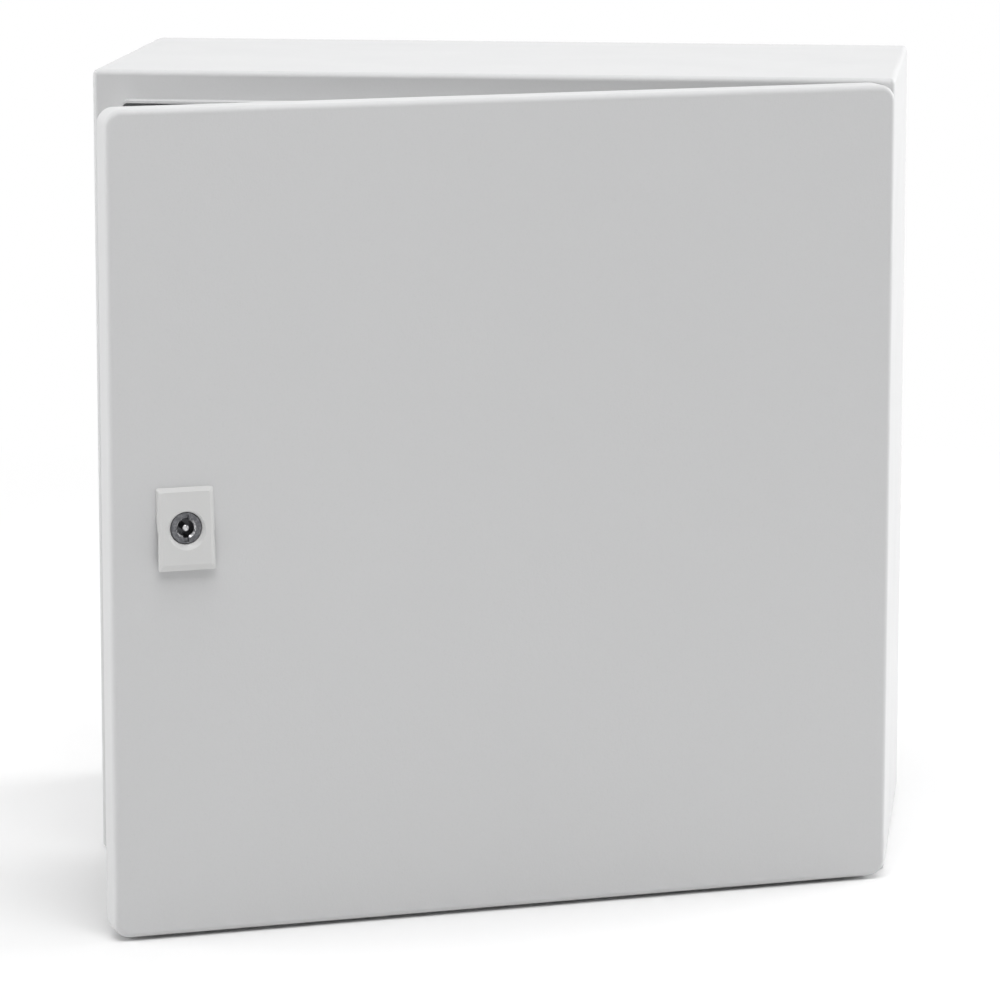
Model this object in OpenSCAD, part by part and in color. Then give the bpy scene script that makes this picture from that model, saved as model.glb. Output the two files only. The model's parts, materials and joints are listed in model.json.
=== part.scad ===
// Steel wall enclosure: a folded body, a right-hinged door that stands ajar and a quarter-turn lock.
// The origin is the centre of the wall-fixing holes on the rear face.
// X points to the right, Y into the wall and Z up, so the closed door faces -Y.

/* [Body] */
// Width of the body
body_w = 500; // [400:10:600]
// Height of the body
body_h = 500; // [420:10:600]
// Depth from the wall to the face of the closed door
overall_d = 250; // [200:5:300]
// Thickness of the body sheet
body_t = 1.5; // [1.2:0.1:2]
// Outer radius of the body's bends
body_bend_r = 3.5; // [2.5:0.5:5]

/* [Front frame] */
// Height of the flange above and below the door opening
flange_h = 18; // [16:0.5:24]
// Width of the flange on the lock side
flange_lock_w = 20; // [18:0.5:26]
// Height of the sealing lip in front of the flange
lip_h = 12; // [11.5:0.25:12.5]
// Outer radius of the sealing lip's corners
lip_corner_r = 4; // [2.5:0.5:8]

/* [Rear panel] */
// Thickness of the rear panel
rear_t = 1.5; // [1.2:0.1:2]
// Depth of the rear panel's folded edge
rear_fold = 12; // [8:1:20]
// Distance of the wall holes from the body's sides, top and bottom
wall_hole_inset = 30; // [28:1:40]
// Diameter of the wall holes
wall_hole_d = 8.5; // [6.5:0.5:10.5]

/* [Door] */
// Thickness of the door sheet
door_t = 1.75; // [1.5:0.25:2]
// Depth of the door's folded edge
door_depth = 20; // [20:0.5:24]
// Gap between the door's folded edge and the flange
door_gap = 3; // [3:0.25:4]
// Distance of the door's edge from the body's outline
door_margin = 2; // [1:0.5:3]
// Radius of the door's corners
door_corner_r = 10; // [8:1:14]
// Outer radius of the door's bends
door_bend_r = 3.5; // [3:0.5:4]
// Angle at which the door stands ajar
door_ajar = 24.7; // [0:0.1:90]

/* [Door seal] */
// Width of the foam seal
seal_w = 10; // [8:0.5:10]
// Corner radius along the middle of the foam seal
seal_corner_r = 12; // [9:1:14]
// Radius of the foam seal's rounded edges
seal_edge_r = 3; // [1:0.5:4]
// Gap between the closed seal and the lip
seal_gap = 0.3; // [0.2:0.1:0.5]

/* [Door rails] */
// Clearance between the lock's nut and the rail beside it
rail_gap = 5; // [2:0.5:15]
// Width of the rail's crown
rail_crown_w = 20; // [16:1:24]
// Width of each welded foot
rail_foot_w = 9; // [6:1:12]
// Height of the rail above the door sheet
rail_depth = 12; // [8:1:16]
// Thickness of the rail sheet
rail_t = 1.5; // [1:0.25:2]
// Distance between the rail's ends and the door's edges
rail_end_gap = 34; // [30:1:60]
// Pitch of the holes along the rail
rail_pitch = 25; // [20:5:50]
// Diameter of the holes in the rail
rail_hole_d = 6.5; // [4:0.5:9]

/* [Hinges] */
// Distance of each hinge's middle from the body's top or bottom
hinge_end_inset = 80; // [75:5:140]
// Length of a hinge's knuckles together
hinge_l = 40; // [36:2:48]
// Outer diameter of a knuckle
knuckle_d = 10; // [9:0.25:10.25]
// Length of the middle knuckle
knuckle_mid_l = 16; // [12:1:18]
// Diameter of the hinge pin
pin_d = 5; // [4:0.25:6]
// Clearance between a knuckle and the door's folded edge
knuckle_gap = 0.75; // [0.5:0.05:0.85]
// Clearance of the door's edge from the frame as it swings
sweep_gap = 0.4; // [0.3:0.05:0.5]
// Thickness of the hinge's arms
hinge_arm_t = 2.4; // [2:0.1:2.8]
// Thickness of the body leaf where it is screwed to the flange
hinge_foot_t = 4; // [3:0.25:4.5]
// Width of the body leaf's foot
hinge_foot_w = 8.5; // [8:0.25:9]
// Thickness of the door leaf
door_leaf_t = 2; // [1.5:0.25:2]
// Length of each screwed end of the door leaf
door_leaf_tab = 15; // [13:1:20]
// Clearance between the door's notch and the hinge's ends
notch_gap = 2; // [1:0.5:4]
// Thread diameter of the screws that hold the body leaves
leaf_screw_d = 4; // [3:0.5:4]
// Distance of those screws from the leaf's ends
leaf_screw_end = 6; // [5:0.5:8]

/* [Lock] */
// Distance of the lock's axis from the door's edge
lock_inset = 45.2; // [40:0.2:52]
// Width of the lock's front plate
plate_w = 34.8; // [34:0.2:40]
// Height of the lock's front plate
plate_h = 49.5; // [44:0.5:60]
// Height of the front plate's face above the door at its top
plate_top_t = 3.4; // [3.2:0.2:4]
// Height of the front plate's face above the door at its bottom
plate_bottom_t = 8.2; // [7.4:0.2:10]
// How far the front plate's middle lies below the lock's axis
plate_drop = 0.7; // [0:0.1:2]
// Corner radius of the front plate
plate_corner_r = 1.2; // [0.6:0.2:3]
// Depth below its face down to which the front plate's sides lean in
plate_edge_t = 2.2; // [2:0.1:2.4]
// How far the front plate's sides lean in below their chamfers
plate_side_draft = 1.1; // [0.4:0.1:1.2]
// How far the front plate's lower end leans in below its chamfer
plate_low_draft = 1.8; // [0.4:0.1:2]
// Width of the chamfers along the front plate's sides and lower end
plate_chamfer_w = 1.8; // [1.6:0.1:2.4]
// Depth of those chamfers
plate_chamfer_t = 0.9; // [0.5:0.1:1]
// Height of the front plate's top bevel
plate_bevel_h = 2.8; // [1.4:0.2:4]
// Depth of the front plate's top bevel
plate_bevel_t = 3; // [2.5:0.1:3.1]
// Height above the plate's middle at which the finger gap beneath its lower half begins
finger_top = 8; // [4:1:10]
// Length of the ramp on which the finger gap opens
finger_ramp = 10; // [6:1:14]
// Depth of the finger gap at its ramp's end
finger_neck = 4.2; // [2:0.2:4.4]
// Depth of the finger gap at the plate's lower end
finger_t = 5.4; // [4:0.2:5.6]
// Width of the rim that the plate's round foot leaves outside the gasket
foot_rim = 1.2; // [0.8:0.1:2]
// Diameter of the lock's threaded barrel
barrel_d = 22; // [22:0.5:24]
// Width across the barrel's two flats
barrel_flats = 20; // [19:0.5:21]
// Width across the flats of the lock nut
lock_nut_af = 27; // [27:1:30]
// Thickness of the lock nut
lock_nut_t = 5; // [4:0.5:8]
// Diameter of the key insert's face
insert_d = 19; // [17:0.2:20]
// Height of the insert's face above the door
insert_face = 4; // [3.4:0.1:4]
// Thickness of the insert's head
insert_head_t = 3; // [2.5:0.1:3]
// Diameter of the insert's journal
journal_d = 14; // [12:0.5:15]
// Diameter of the key socket
socket_d = 10.2; // [9:0.2:11]
// Depth of the key socket
socket_depth = 12; // [8:0.5:14]
// Chamfer round the key socket's mouth
socket_chamfer = 1; // [0.4:0.1:1.2]
// Width of the slots for the key's bits
bit_w = 3.2; // [2:0.2:4]
// Distance of the bit slots' ends from the lock's axis
bit_reach = 8.2; // [7.6:0.1:8.6]
// Diameter of the socket's centre pin
key_pin_d = 4; // [3:0.25:5]
// Thickness of the cam
cam_t = 3; // [2:0.5:4]
// Width of the cam
cam_w = 18; // [16:1:22]
// How far the locked cam reaches behind the flange
cam_bite = 7; // [4:0.5:9]
// Width of the insert's square end
cam_square = 8; // [7:0.5:9]

/* [Mounting plate] */
// Thickness of the mounting plate
chassis_t = 2.5; // [2:0.25:3]
// Distance between the mounting plate's side and the body's side
chassis_side_gap = 25.5; // [24:0.5:40]
// Distance between the mounting plate's end and the body's top or bottom
chassis_end_gap = 15; // [12:1:30]
// Clearance between the mounting plate's corner and a wall hole's middle
chassis_hole_gap = 10; // [9:0.5:14]
// Distance of the mounting plate from the rear panel
chassis_standoff = 12; // [10:1:20]
// Distance of the plate's bolts from its sides
chassis_bolt_side = 12.5; // [11:0.5:20]
// Distance of the plate's bolts from its top and bottom
chassis_bolt_end = 45; // [40:1:80]
// Thread diameter of the plate's bolts and the earth studs
stud_d = 8; // [6:1:8]

/* [Gland plate] */
// Width of the cable opening in the bottom
gland_open_w = 350; // [200:10:360]
// Depth of the cable opening in the bottom
gland_open_d = 90; // [60:5:100]
// Radius of the opening's corners
gland_open_r = 6; // [3:1:12]
// Overlap of the gland plate round the opening
gland_lap = 20; // [18:1:22]
// Thickness of the gland plate
gland_t = 2; // [1.5:0.5:3]
// Thickness of the gland plate's gasket
gland_gasket_t = 2; // [1:0.5:4]
// Thread diameter of the gland plate's studs
gland_stud_d = 5; // [4:0.5:6]

/* [Earth studs] */
// Distance of the body's earth stud from the bottom
earth_up = 60; // [50:5:150]
// Distance of the body's earth stud from the flange
earth_back = 50; // [30:5:100]
// Length of an earth stud
earth_l = 17; // [17:0.5:18]
// Distance of the door's earth stud from the hinge-side rail's foot
door_earth_side = 12; // [10:1:40]

/* [Hidden] */
$fn = 64;

// Depth by which a cut passes the face that it opens
cut = 1;
// Radial clearance of a running fit, and of a nut or thread on its stud
fit_gap = 0.05;
// Clearance of a loose hole round its screw or stud, on the radius
hole_gap = 0.25;
// Clearance between two parts that pass close by each other
free_gap = 0.4;

// Depths along Y, from the wall at 0 to the closed door's face
body_d = overall_d - door_depth - door_gap;
flange_y = -body_d;
door_face_y = -overall_d;
door_inner_y = door_face_y + door_t;

// Hinge axis: it lies inside the door's folded edge, just far enough ahead of the flange for the
// edge's rear corner to swing past the flange and the lip with sweep_gap to spare, rounded up to 0.01
hinge_inset = door_t + knuckle_gap + knuckle_d / 2;
hinge_reach_2 = pow(hinge_inset, 2) + pow(door_gap, 2) - pow(sweep_gap, 2);
hinge_ahead = ceil(100 * hinge_reach_2 / (2 * (door_gap - sweep_gap))) / 100;
hinge_x = body_w / 2 - door_margin - hinge_inset;
hinge_y = flange_y - hinge_ahead;
hinge_z = body_h / 2 - hinge_end_inset;

// Sealing lip: the rectangle of its outer face
lip_right = hinge_x - hinge_ahead;
lip_left = -body_w / 2 + flange_lock_w;
lip_w = lip_right - lip_left;
lip_x = (lip_right + lip_left) / 2;
lip_z = body_h - 2 * flange_h;

// Door outline, and the seal's height above the door sheet
door_w = body_w - 2 * door_margin;
door_h = body_h - 2 * door_margin;
seal_t = flange_y - lip_h - seal_gap - door_inner_y;

// Wall holes and the mounting plate that leaves them free
wall_x = body_w / 2 - wall_hole_inset;
wall_z = body_h / 2 - wall_hole_inset;
chassis_w = body_w - 2 * chassis_side_gap;
chassis_h = body_h - 2 * chassis_end_gap;
chassis_back_y = -rear_t - chassis_standoff;
chassis_front_y = chassis_back_y - chassis_t;
chassis_x = chassis_w / 2 - chassis_bolt_side;
chassis_z = chassis_h / 2 - chassis_bolt_end;

// Gland plate on the floor of the body
floor_z = -body_h / 2 + body_t;
gland_y = -body_d / 2;
gland_w = gland_open_w + 2 * gland_lap;
gland_d = gland_open_d + 2 * gland_lap;

// Lock: the axis on the door, and the depths of its parts behind the door's face
lock_x = -door_w / 2 + lock_inset;
lock_nut_r = across_corners(lock_nut_af) / 2;
lock_washer_t = 1;
cam_front = -(door_depth + door_gap + body_t + free_gap);
barrel_gap = 0.3;
barrel_back = cam_front + barrel_gap;
cam_l = lock_inset + door_margin - flange_lock_w + cam_bite;
cam_washer_t = 1.2;
cam_screw_d = 5;
cam_screw_bite = 9;
insert_gap = 0.3;
recess_d = insert_d + 2 * insert_gap;
oring_d = 1.6;
oring_below = 3;
oring_z = insert_face - socket_depth - oring_below;
gasket_t = 1.2;
gasket_in_r = 11.5;
gasket_out_r = 14;
slot_wall = 1;
square_gap = 0.2;

// Front plate of the lock: how far its top leans in below the bevel, and its drawing layers' thickness
plate_top_draft = 0.2;
plate_layer = 0.01;

// Rails
rail_half_w = rail_crown_w / 2 + rail_foot_w;
rail_x = door_w / 2 - lock_inset - lock_nut_r - rail_gap - rail_half_w;
rail_l = door_h - 2 * rail_end_gap;

// Body leaf, seen from the hinge axis
leaf_x = free_gap - hinge_ahead;
leaf_arm_y = hinge_ahead - lip_h - seal_gap + free_gap;
leaf_screw_x = leaf_x + hinge_foot_w / 2;
leaf_screw_z = hinge_l / 2 - leaf_screw_end;
// Door leaf, seen from the hinge axis
door_leaf_y = door_inner_y - hinge_y;
door_leaf_left = seal_w / 2 - body_t / 2 - hinge_ahead + 3 * free_gap;
door_leaf_right = hinge_inset - door_bend_r - hole_gap;
door_leaf_x = (door_leaf_left + door_leaf_right) / 2;
door_leaf_stud_z = (hinge_l + door_leaf_tab) / 2;
knuckle_end_gap = 0.2;

// Hinge pins: their heads, and the clips in the grooves at their lower ends
pin_head_d = 1.6 * pin_d;
pin_head_t = 2;
clip_t = 0.8;
clip_groove = 0.5;
pin_low = -hinge_l / 2 - 3 * clip_t;

// Metric fasteners: washer thickness, a nut's proportions, and a stud's free end
washer_t = 1.6;
nut_t_ratio = 0.8;
nut_af_ratio = 1.625;
stud_end = 2;
gland_stud_l = gland_gasket_t + gland_t + nut_t(gland_stud_d) + stud_end;
leaf_stud_d = 5;

// A nut's thickness and its width across flats, for its thread, and any hexagon's width across corners
function nut_t(d) = nut_t_ratio * d;
function nut_af(d) = nut_af_ratio * d;
function across_corners(af) = af / cos(30);

// Upper end of the lock's front plate at a depth below its face
function plate_high(t) =
  plate_h / 2 - plate_top_draft - (plate_bevel_h - plate_top_draft) * (1 - t / plate_bevel_t);

STEEL = [0.72, 0.73, 0.74];
ZINC = [0.66, 0.68, 0.70];
PAINT = [0.80, 0.81, 0.80];
FOAM = [0.16, 0.16, 0.17];
PLASTIC = [0.82, 0.82, 0.82];
DARK_METAL = [0.40, 0.40, 0.42];
CORNERS = [[1, 1], [-1, 1], [-1, -1], [1, -1]];

// ---------- Drawing helpers ----------

// Quarter of a disc, in the first quadrant
module quarter_disc(r) {
  intersection() {
    circle(r);
    square(r);
  }
}

// Rectangle about the origin with round corners
module rounded_rect(w, h, r) {
  square([w - 2 * r, h], center = true);
  square([w, h - 2 * r], center = true);
  for (i = [0:3]) {
    translate([CORNERS[i][0] * (w / 2 - r), CORNERS[i][1] * (h / 2 - r)])
      rotate(90 * i) quarter_disc(r);
  }
}

// Gives a drawing in X and Z a depth, from y_front back to y_back
module along_y(y_front, y_back) {
  translate([0, y_back, 0])
    rotate([90, 0, 0]) linear_extrude(y_back - y_front) children();
}

// Runs a section round a rectangle in X and Z whose corners have radius r. In the section, x points
// outwards from the corner's centre and y points back.
module sweep_frame(w, h, r) {
  for (i = [0:3]) {
    span = i % 2 == 0 ? w : h;
    reach = i % 2 == 0 ? h : w;
    rotate([0, 90 * i, 0])
      translate([span / 2 - r, 0, reach / 2 - r])
        rotate([0, -90, 0]) {
          linear_extrude(span - 2 * r) children();
          rotate([-90, 0, 0]) rotate_extrude(angle = 90) children();
        }
  }
}

// Solid form of the body: round edges along Y and round front edges, of one radius
module bent_box(w, h, d, r, back) {
  along_y(r - d, back) rounded_rect(w, h, r);
  along_y(-d, r - d) square([w - 2 * r, h - 2 * r], center = true);
  translate([0, r - d, 0])
    sweep_frame(w, h, r) mirror([0, 1]) quarter_disc(r);
}

// Cylinder whose axis points forward, from y_back to y_front
module rod_y(d, y_front, y_back) {
  translate([0, y_back, 0]) rotate([90, 0, 0]) cylinder(d = d, h = y_back - y_front);
}

// Places children at each of the four points (+-x, +-z)
module at_four(x, z) {
  for (c = CORNERS) {
    translate([c[0] * x, 0, c[1] * z]) children();
  }
}

// Hexagon nut standing on z = 0
module hex_nut(d) {
  difference() {
    cylinder(d = across_corners(nut_af(d)), h = nut_t(d), $fn = 6);
    translate([0, 0, -cut]) cylinder(d = d + 2 * fit_gap, h = nut_t(d) + 2 * cut);
  }
}

// Flat washer standing on z = 0
module washer(d, t) {
  difference() {
    cylinder(d = 2 * d, h = t);
    translate([0, 0, -cut]) cylinder(d = d + 2 * hole_gap, h = t + 2 * cut);
  }
}

// Swings children from the closed door to the door as it stands ajar
module on_door() {
  translate([hinge_x, hinge_y, 0])
    rotate([0, 0, door_ajar])
      translate([-hinge_x, -hinge_y, 0]) children();
}

// Lock's own frame on the door: z points out of the door's face, y up
module at_lock() {
  on_door() translate([lock_x, door_face_y, 0]) rotate([90, 0, 0]) children();
}

// ---------- Body ----------

module body_wrap() {
  color(PAINT) difference() {
    union() {
      difference() {
        bent_box(body_w, body_h, body_d, body_bend_r, 0);
        bent_box(body_w - 2 * body_t, body_h - 2 * body_t, body_d - body_t, body_bend_r - body_t, cut);
      }
      translate([lip_x, 0, 0])
        along_y(flange_y - lip_h, flange_y + body_t) rounded_rect(lip_w, lip_z, lip_corner_r);
    }
    translate([lip_x, 0, 0])
      along_y(flange_y - lip_h - cut, flange_y + body_t + cut)
        rounded_rect(lip_w - 2 * body_t, lip_z - 2 * body_t, lip_corner_r - body_t);
    translate([0, gland_y, floor_z - body_t - cut])
      linear_extrude(body_t + 2 * cut) rounded_rect(gland_open_w, gland_open_d, gland_open_r);
    leaf_screw_holes(flange_y - cut, flange_y + body_t + cut, leaf_screw_d + 2 * hole_gap);
  }
}

// Plain sheet let into the back of the body, with an edge folded forward along each side
module rear_panel() {
  w = body_w - 2 * body_t - 2 * fit_gap;
  h = body_h - 2 * body_t - 2 * fit_gap;
  relief = 4;
  color(PAINT) difference() {
    union() {
      along_y(-rear_t, 0) rounded_rect(w, h, body_bend_r - body_t - fit_gap);
      for (side = [-1, 1]) {
        translate([side * (w - rear_t) / 2, -rear_fold / 2, 0])
          cube([rear_t, rear_fold, h - 2 * rear_t - 2 * relief], center = true);
        translate([0, -rear_fold / 2, side * (h - rear_t) / 2])
          cube([w - 2 * rear_t - 2 * relief, rear_fold, rear_t], center = true);
      }
    }
    at_four(wall_x, wall_z) rod_y(wall_hole_d, -rear_t - cut, cut);
  }
}

// ---------- Gland plate in the floor ----------

// Places children at the gland plate's six fixings, on the body's floor
module at_gland_studs() {
  for (x = [-1, 0, 1], y = [-1, 1]) {
    translate([x * (gland_w - gland_lap) / 2, gland_y + y * (gland_d - gland_lap) / 2, floor_z]) children();
  }
}

module gland_gasket() {
  color(FOAM) difference() {
    translate([0, gland_y, floor_z])
      linear_extrude(gland_gasket_t)
        difference() {
          rounded_rect(gland_w, gland_d, gland_open_r);
          rounded_rect(gland_open_w, gland_open_d, gland_open_r);
        }
    at_gland_studs() cylinder(d = gland_stud_d + 2 * hole_gap, h = gland_gasket_t + cut);
  }
}

module gland_plate() {
  color(STEEL) difference() {
    translate([0, gland_y, floor_z + gland_gasket_t])
      linear_extrude(gland_t) rounded_rect(gland_w, gland_d, gland_open_r);
    at_gland_studs() cylinder(d = gland_stud_d + 2 * hole_gap, h = gland_gasket_t + gland_t + cut);
  }
}

module gland_studs() {
  color(STEEL) at_gland_studs() cylinder(d = gland_stud_d, h = gland_stud_l);
}

module gland_nuts() {
  color(STEEL) at_gland_studs() translate([0, 0, gland_gasket_t + gland_t]) hex_nut(gland_stud_d);
}

// ---------- Mounting plate on the rear panel ----------

module mounting_studs() {
  front_y = chassis_front_y - washer_t - nut_t(stud_d) - stud_end;
  color(STEEL) at_four(chassis_x, chassis_z) {
    rod_y(stud_d, front_y, -rear_t);
    translate([0, -rear_t, 0])
      rotate([90, 0, 0]) cylinder(d = across_corners(nut_af(stud_d)), h = chassis_standoff, $fn = 6);
  }
}

module mounting_plate() {
  corner_x = wall_x - chassis_hole_gap;
  corner_z = wall_z - chassis_hole_gap;
  color(ZINC) difference() {
    along_y(chassis_front_y, chassis_back_y) square([chassis_w, chassis_h], center = true);
    for (c = CORNERS) {
      translate([c[0] * (corner_x + wall_x / 2), chassis_front_y, c[1] * (corner_z + wall_z / 2)])
        cube([wall_x, 4 * chassis_t, wall_z], center = true);
    }
    at_four(chassis_x, chassis_z) rod_y(stud_d + 2 * hole_gap, chassis_front_y - cut, chassis_back_y + cut);
  }
}

module mounting_washers() {
  color(STEEL) at_four(chassis_x, chassis_z)
    translate([0, chassis_front_y, 0]) rotate([90, 0, 0]) washer(stud_d, washer_t);
}

module mounting_nuts() {
  color(STEEL) at_four(chassis_x, chassis_z)
    translate([0, chassis_front_y - washer_t, 0]) rotate([90, 0, 0]) hex_nut(stud_d);
}

// ---------- Earth studs ----------

// Body's earth stud: on the lock-side wall behind the flange, pointing inwards along z
module at_body_earth() {
  translate([-body_w / 2 + body_t, flange_y + earth_back, -body_h / 2 + earth_up])
    rotate([0, 90, 0]) children();
}

// Door's earth stud: on the door sheet beside the hinge-side rail, pointing inwards along z
module at_door_earth() {
  on_door()
    translate([rail_x - rail_half_w - door_earth_side, door_inner_y, -body_h / 2 + earth_up])
      rotate([-90, 0, 0]) children();
}

module body_earth_stud() {
  color(STEEL) at_body_earth() cylinder(d = stud_d, h = earth_l);
}

module body_earth_washer() {
  color(STEEL) at_body_earth() washer(stud_d, washer_t);
}

module body_earth_nut() {
  color(STEEL) at_body_earth() translate([0, 0, washer_t]) hex_nut(stud_d);
}

module door_earth_stud() {
  color(STEEL) at_door_earth() cylinder(d = stud_d, h = earth_l);
}

module door_earth_washer() {
  color(STEEL) at_door_earth() washer(stud_d, washer_t);
}

module door_earth_nut() {
  color(STEEL) at_door_earth() translate([0, 0, washer_t]) hex_nut(stud_d);
}

// ---------- Door ----------

// Section through the door's edge: sheet, bend and folded edge
module door_edge_section() {
  square([door_corner_r - door_bend_r, door_t]);
  translate([door_corner_r - door_t, door_bend_r]) square([door_t, door_depth - door_bend_r]);
  translate([door_corner_r - door_bend_r, door_bend_r])
    mirror([0, 1])
      difference() {
        quarter_disc(door_bend_r);
        quarter_disc(door_bend_r - door_t);
      }
}

// Round form with two flats: the lock's barrel, and its hole in the door
module barrel_form(d, flats, z_low, z_high) {
  intersection() {
    translate([0, 0, z_low]) cylinder(d = d, h = z_high - z_low);
    translate([-flats / 2, -d, z_low]) cube([flats, 2 * d, z_high - z_low]);
  }
}

module door_panel() {
  notch_l = hinge_l + 2 * notch_gap;
  color(PAINT) difference() {
    on_door() difference() {
      translate([0, door_face_y, 0]) {
        sweep_frame(door_w, door_h, door_corner_r) door_edge_section();
        along_y(0, door_t) square([door_w - 2 * door_corner_r, door_h - 2 * door_corner_r], center = true);
      }
      // Notches through which the hinges' body leaves pass the folded edge
      for (side = [-1, 1]) {
        translate([door_w / 2 - door_t - cut, hinge_y, side * hinge_z - notch_l / 2])
          cube([door_t + 2 * cut, hinge_ahead, notch_l]);
      }
    }
    at_lock() barrel_form(barrel_d + 2 * hole_gap, barrel_flats + 2 * hole_gap, -door_t - cut, cut);
  }
}

// Foam bead: flat on the door, domed towards the lip
module seal_section() {
  flat_half = seal_w / 2 - seal_edge_r;
  side_t = seal_t - seal_edge_r;
  translate([-seal_w / 2, 0]) square([seal_w, side_t]);
  translate([-flat_half, side_t]) square([2 * flat_half, seal_edge_r]);
  for (side = [0, 1]) {
    mirror([side, 0]) translate([flat_half, side_t]) quarter_disc(seal_edge_r);
  }
}

module door_seal() {
  color(FOAM) on_door()
    translate([lip_x, door_inner_y, 0])
      sweep_frame(lip_w - body_t, lip_z - body_t, seal_corner_r)
        translate([seal_corner_r, 0]) seal_section();
}

// Perforated top-hat rail, welded to the door sheet by its feet
module door_rail(x) {
  crown = rail_crown_w / 2;
  holes = floor((rail_l / 2 - rail_hole_d) / rail_pitch);
  color(STEEL) on_door() translate([x, door_inner_y, 0]) difference() {
    translate([0, 0, -rail_l / 2]) linear_extrude(rail_l) polygon([
      [-rail_half_w, 0], [rail_t - crown, 0], [rail_t - crown, rail_depth - rail_t],
      [crown - rail_t, rail_depth - rail_t], [crown - rail_t, 0], [rail_half_w, 0],
      [rail_half_w, rail_t], [crown, rail_t], [crown, rail_depth],
      [-crown, rail_depth], [-crown, rail_t], [-rail_half_w, rail_t]
    ]);
    for (i = [-holes:holes]) {
      translate([0, 0, i * rail_pitch]) rod_y(rail_hole_d, rail_depth / 2, rail_depth + cut);
    }
  }
}

module door_rail_lock_side() {
  door_rail(-rail_x);
}

module door_rail_hinge_side() {
  door_rail(rail_x);
}

// ---------- Hinges ----------

// Holes or shanks of the four screws that hold the body leaves
module leaf_screw_holes(y_front, y_back, d) {
  for (side = [-1, 1], end = [-1, 1]) {
    translate([hinge_x + leaf_screw_x, 0, side * hinge_z + end * leaf_screw_z]) rod_y(d, y_front, y_back);
  }
}

// Cast leaf: a foot on the flange, an upright beside the lip and an arm out to the middle knuckle
module hinge_body_leaf(z) {
  color(ZINC) difference() {
    translate([hinge_x, hinge_y, z]) {
      translate([leaf_x, hinge_ahead - hinge_foot_t, -hinge_l / 2])
        cube([hinge_foot_w, hinge_foot_t, hinge_l]);
      translate([leaf_x, leaf_arm_y, -hinge_l / 2])
        cube([hinge_arm_t, hinge_ahead - leaf_arm_y, hinge_l]);
      translate([leaf_x, leaf_arm_y, -knuckle_mid_l / 2])
        cube([-leaf_x, hinge_arm_t, knuckle_mid_l]);
      cylinder(d = knuckle_d, h = knuckle_mid_l, center = true);
    }
    translate([hinge_x, hinge_y, z]) cylinder(d = pin_d + 2 * fit_gap, h = hinge_l, center = true);
    leaf_screw_holes(flange_y - hinge_foot_t - cut, flange_y + cut, leaf_screw_d + 2 * fit_gap);
  }
}

module hinge_body_leaf_upper() {
  hinge_body_leaf(hinge_z);
}

module hinge_body_leaf_lower() {
  hinge_body_leaf(-hinge_z);
}

module hinge_leaf_screws() {
  head_d = 1.75 * leaf_screw_d;
  head_t = 0.6 * leaf_screw_d;
  key_d = 0.7 * leaf_screw_d;
  back_y = flange_y + body_t + head_t;
  color(STEEL) difference() {
    union() {
      leaf_screw_holes(flange_y - hinge_foot_t, back_y - head_t / 2, leaf_screw_d);
      leaf_screw_holes(back_y - head_t, back_y, head_d);
    }
    for (side = [-1, 1], end = [-1, 1]) {
      translate([hinge_x + leaf_screw_x, back_y - head_t / 2, side * hinge_z + end * leaf_screw_z])
        rotate([-90, 0, 0]) cylinder(d = key_d, h = head_t, $fn = 6);
    }
  }
}

// Pins, dropped in from above, each with a groove for its clip
module hinge_pins() {
  color(STEEL) for (side = [-1, 1]) {
    translate([hinge_x, hinge_y, side * hinge_z]) difference() {
      union() {
        translate([0, 0, pin_low]) cylinder(d = pin_d, h = hinge_l / 2 + knuckle_end_gap - pin_low);
        translate([0, 0, hinge_l / 2 + knuckle_end_gap]) cylinder(d = pin_head_d, h = pin_head_t);
      }
      translate([0, 0, pin_low + clip_t]) difference() {
        cylinder(d = pin_d + 2 * cut, h = clip_t);
        translate([0, 0, -cut]) cylinder(d = pin_d - 2 * clip_groove, h = clip_t + 2 * cut);
      }
    }
  }
}

// Open spring clips in the pins' grooves
module hinge_clips() {
  color(STEEL) for (side = [-1, 1]) {
    translate([hinge_x, hinge_y, side * hinge_z + pin_low + clip_t + fit_gap]) difference() {
      cylinder(d = pin_head_d, h = clip_t - 2 * fit_gap);
      translate([0, 0, -cut]) cylinder(d = pin_d - 2 * clip_groove + 2 * fit_gap, h = clip_t + 2 * cut);
      translate([-pin_head_d, -pin_d / 3, -cut]) cube([pin_head_d, 2 * pin_d / 3, clip_t + 2 * cut]);
    }
  }
}

// Door leaf: a plate on the door sheet with a knuckle above and below the middle one
module hinge_door_leaf(z) {
  web_t = knuckle_d / 2;
  knuckle_l = (hinge_l - knuckle_mid_l) / 2 - knuckle_end_gap;
  leaf_half_l = hinge_l / 2 + door_leaf_tab;
  color(ZINC) on_door() translate([hinge_x, hinge_y, z]) difference() {
    union() {
      translate([door_leaf_left, door_leaf_y, -leaf_half_l])
        cube([door_leaf_right - door_leaf_left, door_leaf_t, 2 * leaf_half_l]);
      for (end = [0, 1]) {
        mirror([0, 0, end]) translate([0, 0, knuckle_mid_l / 2 + knuckle_end_gap]) {
          cylinder(d = knuckle_d, h = knuckle_l);
          translate([-web_t / 2, door_leaf_y, 0]) cube([web_t, -door_leaf_y, knuckle_l]);
        }
      }
    }
    cylinder(d = pin_d + 2 * fit_gap, h = hinge_l + 2 * cut, center = true);
    for (end = [-1, 1]) {
      translate([door_leaf_x, 0, end * door_leaf_stud_z])
        rod_y(leaf_stud_d + 2 * hole_gap, door_leaf_y - cut, door_leaf_y + door_leaf_t + cut);
    }
  }
}

module hinge_door_leaf_upper() {
  hinge_door_leaf(hinge_z);
}

module hinge_door_leaf_lower() {
  hinge_door_leaf(-hinge_z);
}

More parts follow.
